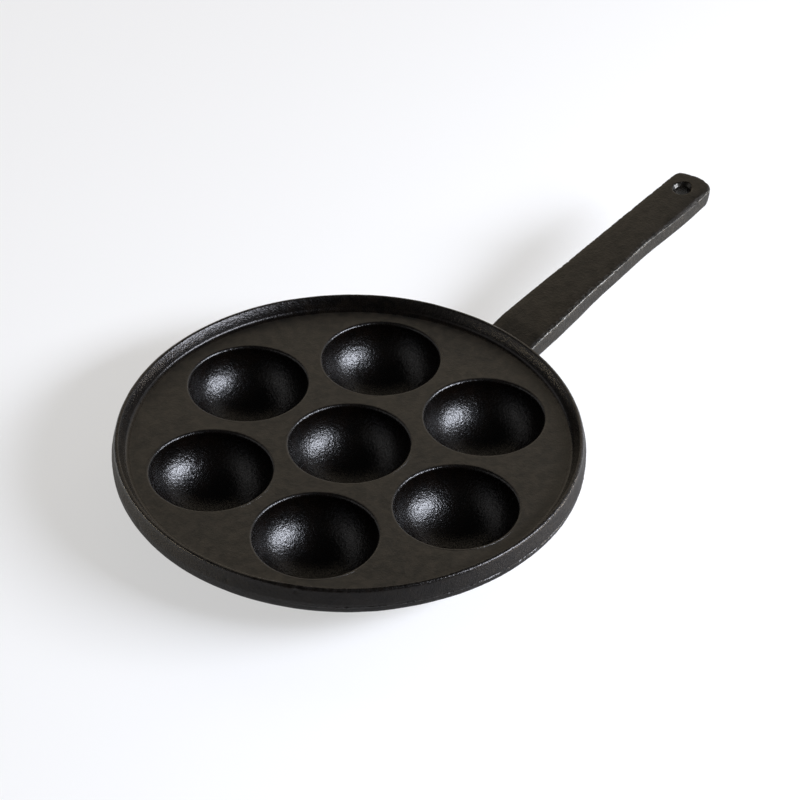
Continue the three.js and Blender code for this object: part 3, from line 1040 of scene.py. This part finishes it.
# %% Left and right side
RUBBED_RUNS = ((152, 27), (203, 7))
WIDE_START, WIDE_RUN = 200, 35
NARROW_START = 246
LEFT_CHAMFER, LEFT_TIP_CHAMFER = 0.5, 0.8
LEFT_ROUNDING, LEFT_TIP_ROUNDING = 0.3, 0.4
RIGHT_CHAMFER, WIDE_CHAMFER, TIP_CHAMFER = 0.9, 2.0, 0.8
RIGHT_ROUNDING, RUBBED_ROUNDING, WIDE_ROUNDING = 0.4, 1.0, 0.2
wide_run = smoothstep((stations - WIDE_START) / WIDE_RUN)
narrow_end = smoothstep((stations - NARROW_START) / (handle_tip - NARROW_START))
rubbed_runs = sum(np.exp(-(((stations - middle) / half) ** 4)) for middle, half in RUBBED_RUNS)
left_chamfer = LEFT_CHAMFER + (LEFT_TIP_CHAMFER - LEFT_CHAMFER) * at_tip
left_rounding = LEFT_ROUNDING + (LEFT_TIP_ROUNDING - LEFT_ROUNDING) * at_tip
widening = (WIDE_CHAMFER - RIGHT_CHAMFER) * wide_run
right_chamfer = RIGHT_CHAMFER + widening - (WIDE_CHAMFER - TIP_CHAMFER) * narrow_end
rubbing = (RUBBED_ROUNDING - RIGHT_ROUNDING) * rubbed_runs
right_rounding = RIGHT_ROUNDING + rubbing - (RIGHT_ROUNDING - WIDE_ROUNDING) * wide_run * (1 - at_tip)
left_side = handle_side(1, left_chamfer, left_rounding)
right_side = handle_side(-1, right_chamfer, right_rounding)
right_side["points"][-1] = left_side["points"][-1]
print("handle sides:", left_side["points"].shape)

# %% Handle piece
HOLE_OIL = 0.5
left_end, right_end = left_side["points"][0], right_side["points"][0]
halfway = len(side_plain) // 2
upper_end = np.concatenate([left_end[halfway::-1], upper_face[0, ::-1], right_end[: halfway + 1]])
lower_end = np.concatenate([left_end[halfway:], lower_face[0, ::-1], right_end[: halfway - 1 : -1]])
handle_sheets = [
    sheet(upper_face, face_quads),
    sheet(lower_face, face_quads),
    sheet(hole_wall, wrap=True, dry=-HOLE_OIL),
    left_side,
    right_side,
    sheet(np.stack([upper_end, lower_end])),
]
make_piece("handle_skin", handle_sheets, "handle", handle_iron)

# %% [markdown]
# ## Floor
# The pan stands on a plain white floor. A white sweep in a studio is lit from all round, which
# leaves only a pale shadow. Here the floor glows faintly by itself instead, so that a few lamps are
# enough and the shadow stays pale.

# %% Floor
FLOOR_HALF = 9000.0
FLOOR_GREY = 0.39
FLOOR_GLOW = 0.53
FLOOR_ROUGHNESS = 0.9
FLOOR_SHEEN = 0.1
floor_mesh = bpy.data.meshes.new("floor")
corners = np.array([[-1, -1, 0], [1, -1, 0], [1, 1, 0], [-1, 1, 0]]) * FLOOR_HALF * MM
floor_mesh.from_pydata(corners, [], [(0, 1, 2, 3)])
floor = bpy.data.objects.new("floor", floor_mesh)
bpy.context.collection.objects.link(floor)
floor_paint = bpy.data.materials.new("floor_paint")
floor_paint.use_nodes = True
paint = floor_paint.node_tree.nodes["Principled BSDF"]
paint.inputs["Base Color"].default_value = (FLOOR_GREY, FLOOR_GREY, FLOOR_GREY, 1)
paint.inputs["Emission Color"].default_value = (1, 1, 1, 1)
paint.inputs["Emission Strength"].default_value = FLOOR_GLOW
paint.inputs["Roughness"].default_value = FLOOR_ROUGHNESS
paint.inputs["Specular IOR Level"].default_value = FLOOR_SHEEN
floor_mesh.materials.append(floor_paint)
print("floor", 2 * FLOOR_HALF * MM, "m wide")

# %% [markdown]
# ## Light
# On a dark, glossy object the light is mostly what the surface mirrors. The key, a slanting soft
# lamp at the camera's right, makes the spots of light in the wells. A broad warm screen behind the
# pan is what the deck and the handle mirror, and a cooler one further round to the right lights the
# fillets. A weak card and a weaker fill at the left keep the dark sides of the wells from closing
# up. Two low strips, hardly higher than the pan, reach little else than its outer wall. The room
# itself is almost dark.

# %% Lamps
ROOM = 0.03


def soft_lamp(name, around, up, distance, width, height, watts, colour, roll=0):
    """A rectangular lamp that faces the pan. around is its bearing in degrees to the right of the
    way the camera heads, up its angle above the floor and roll its turn about the way it faces;
    distance and sizes are in metres."""
    data = bpy.data.lights.new(name, "AREA")
    data.shape = "RECTANGLE"
    data.size, data.size_y = width, height
    data.energy = watts
    data.color = colour
    lamp = bpy.data.objects.new(name, data)
    bpy.context.collection.objects.link(lamp)
    bearing = math.radians(HEADING - around)
    turn = Matrix.Rotation(bearing + math.pi / 2, 4, "Z") @ Matrix.Rotation(math.radians(90 - up), 4, "X")
    lean = Matrix.Rotation(math.radians(roll), 4, "Z")
    stand = Matrix.Translation((0, 0, deck_top * MM))
    lamp.matrix_world = stand @ turn @ Matrix.Translation((0, 0, distance)) @ lean
    print(name, "stands at", [round(v, 2) for v in lamp.location])


soft_lamp("key", 105.4, 28.8, 1.2, 0.92, 0.3, 35.5, (0.85, 0.89, 1.0), roll=-19)
soft_lamp("screen", 2, 23.5, 2.4, 3.4, 2.5, 22, (1.0, 0.87, 0.69))
soft_lamp("side_screen", 55, 21, 2.2, 2.2, 1.6, 8.8, (0.97, 0.97, 1.0))
soft_lamp("card", -84, 20, 1.3, 1.9, 0.9, 3.8, (1.0, 0.97, 0.97))
soft_lamp("fill", -125, 20, 1.5, 1.2, 1.2, 0.9, (1.0, 0.97, 0.97))
soft_lamp("left_strip", -92, 0.5, 1.2, 1.2, 0.05, 6, (1.0, 0.85, 0.58))
soft_lamp("right_strip", 88, 0.5, 1.2, 1.2, 0.05, 8, (1.0, 0.9, 0.78))
world = bpy.data.worlds.new("room")
bpy.context.scene.world = world
world.use_nodes = True
world.node_tree.nodes["Background"].inputs["Color"].default_value = (ROOM, ROOM, ROOM, 1)
bpy.context.scene.view_settings.view_transform = "Standard"
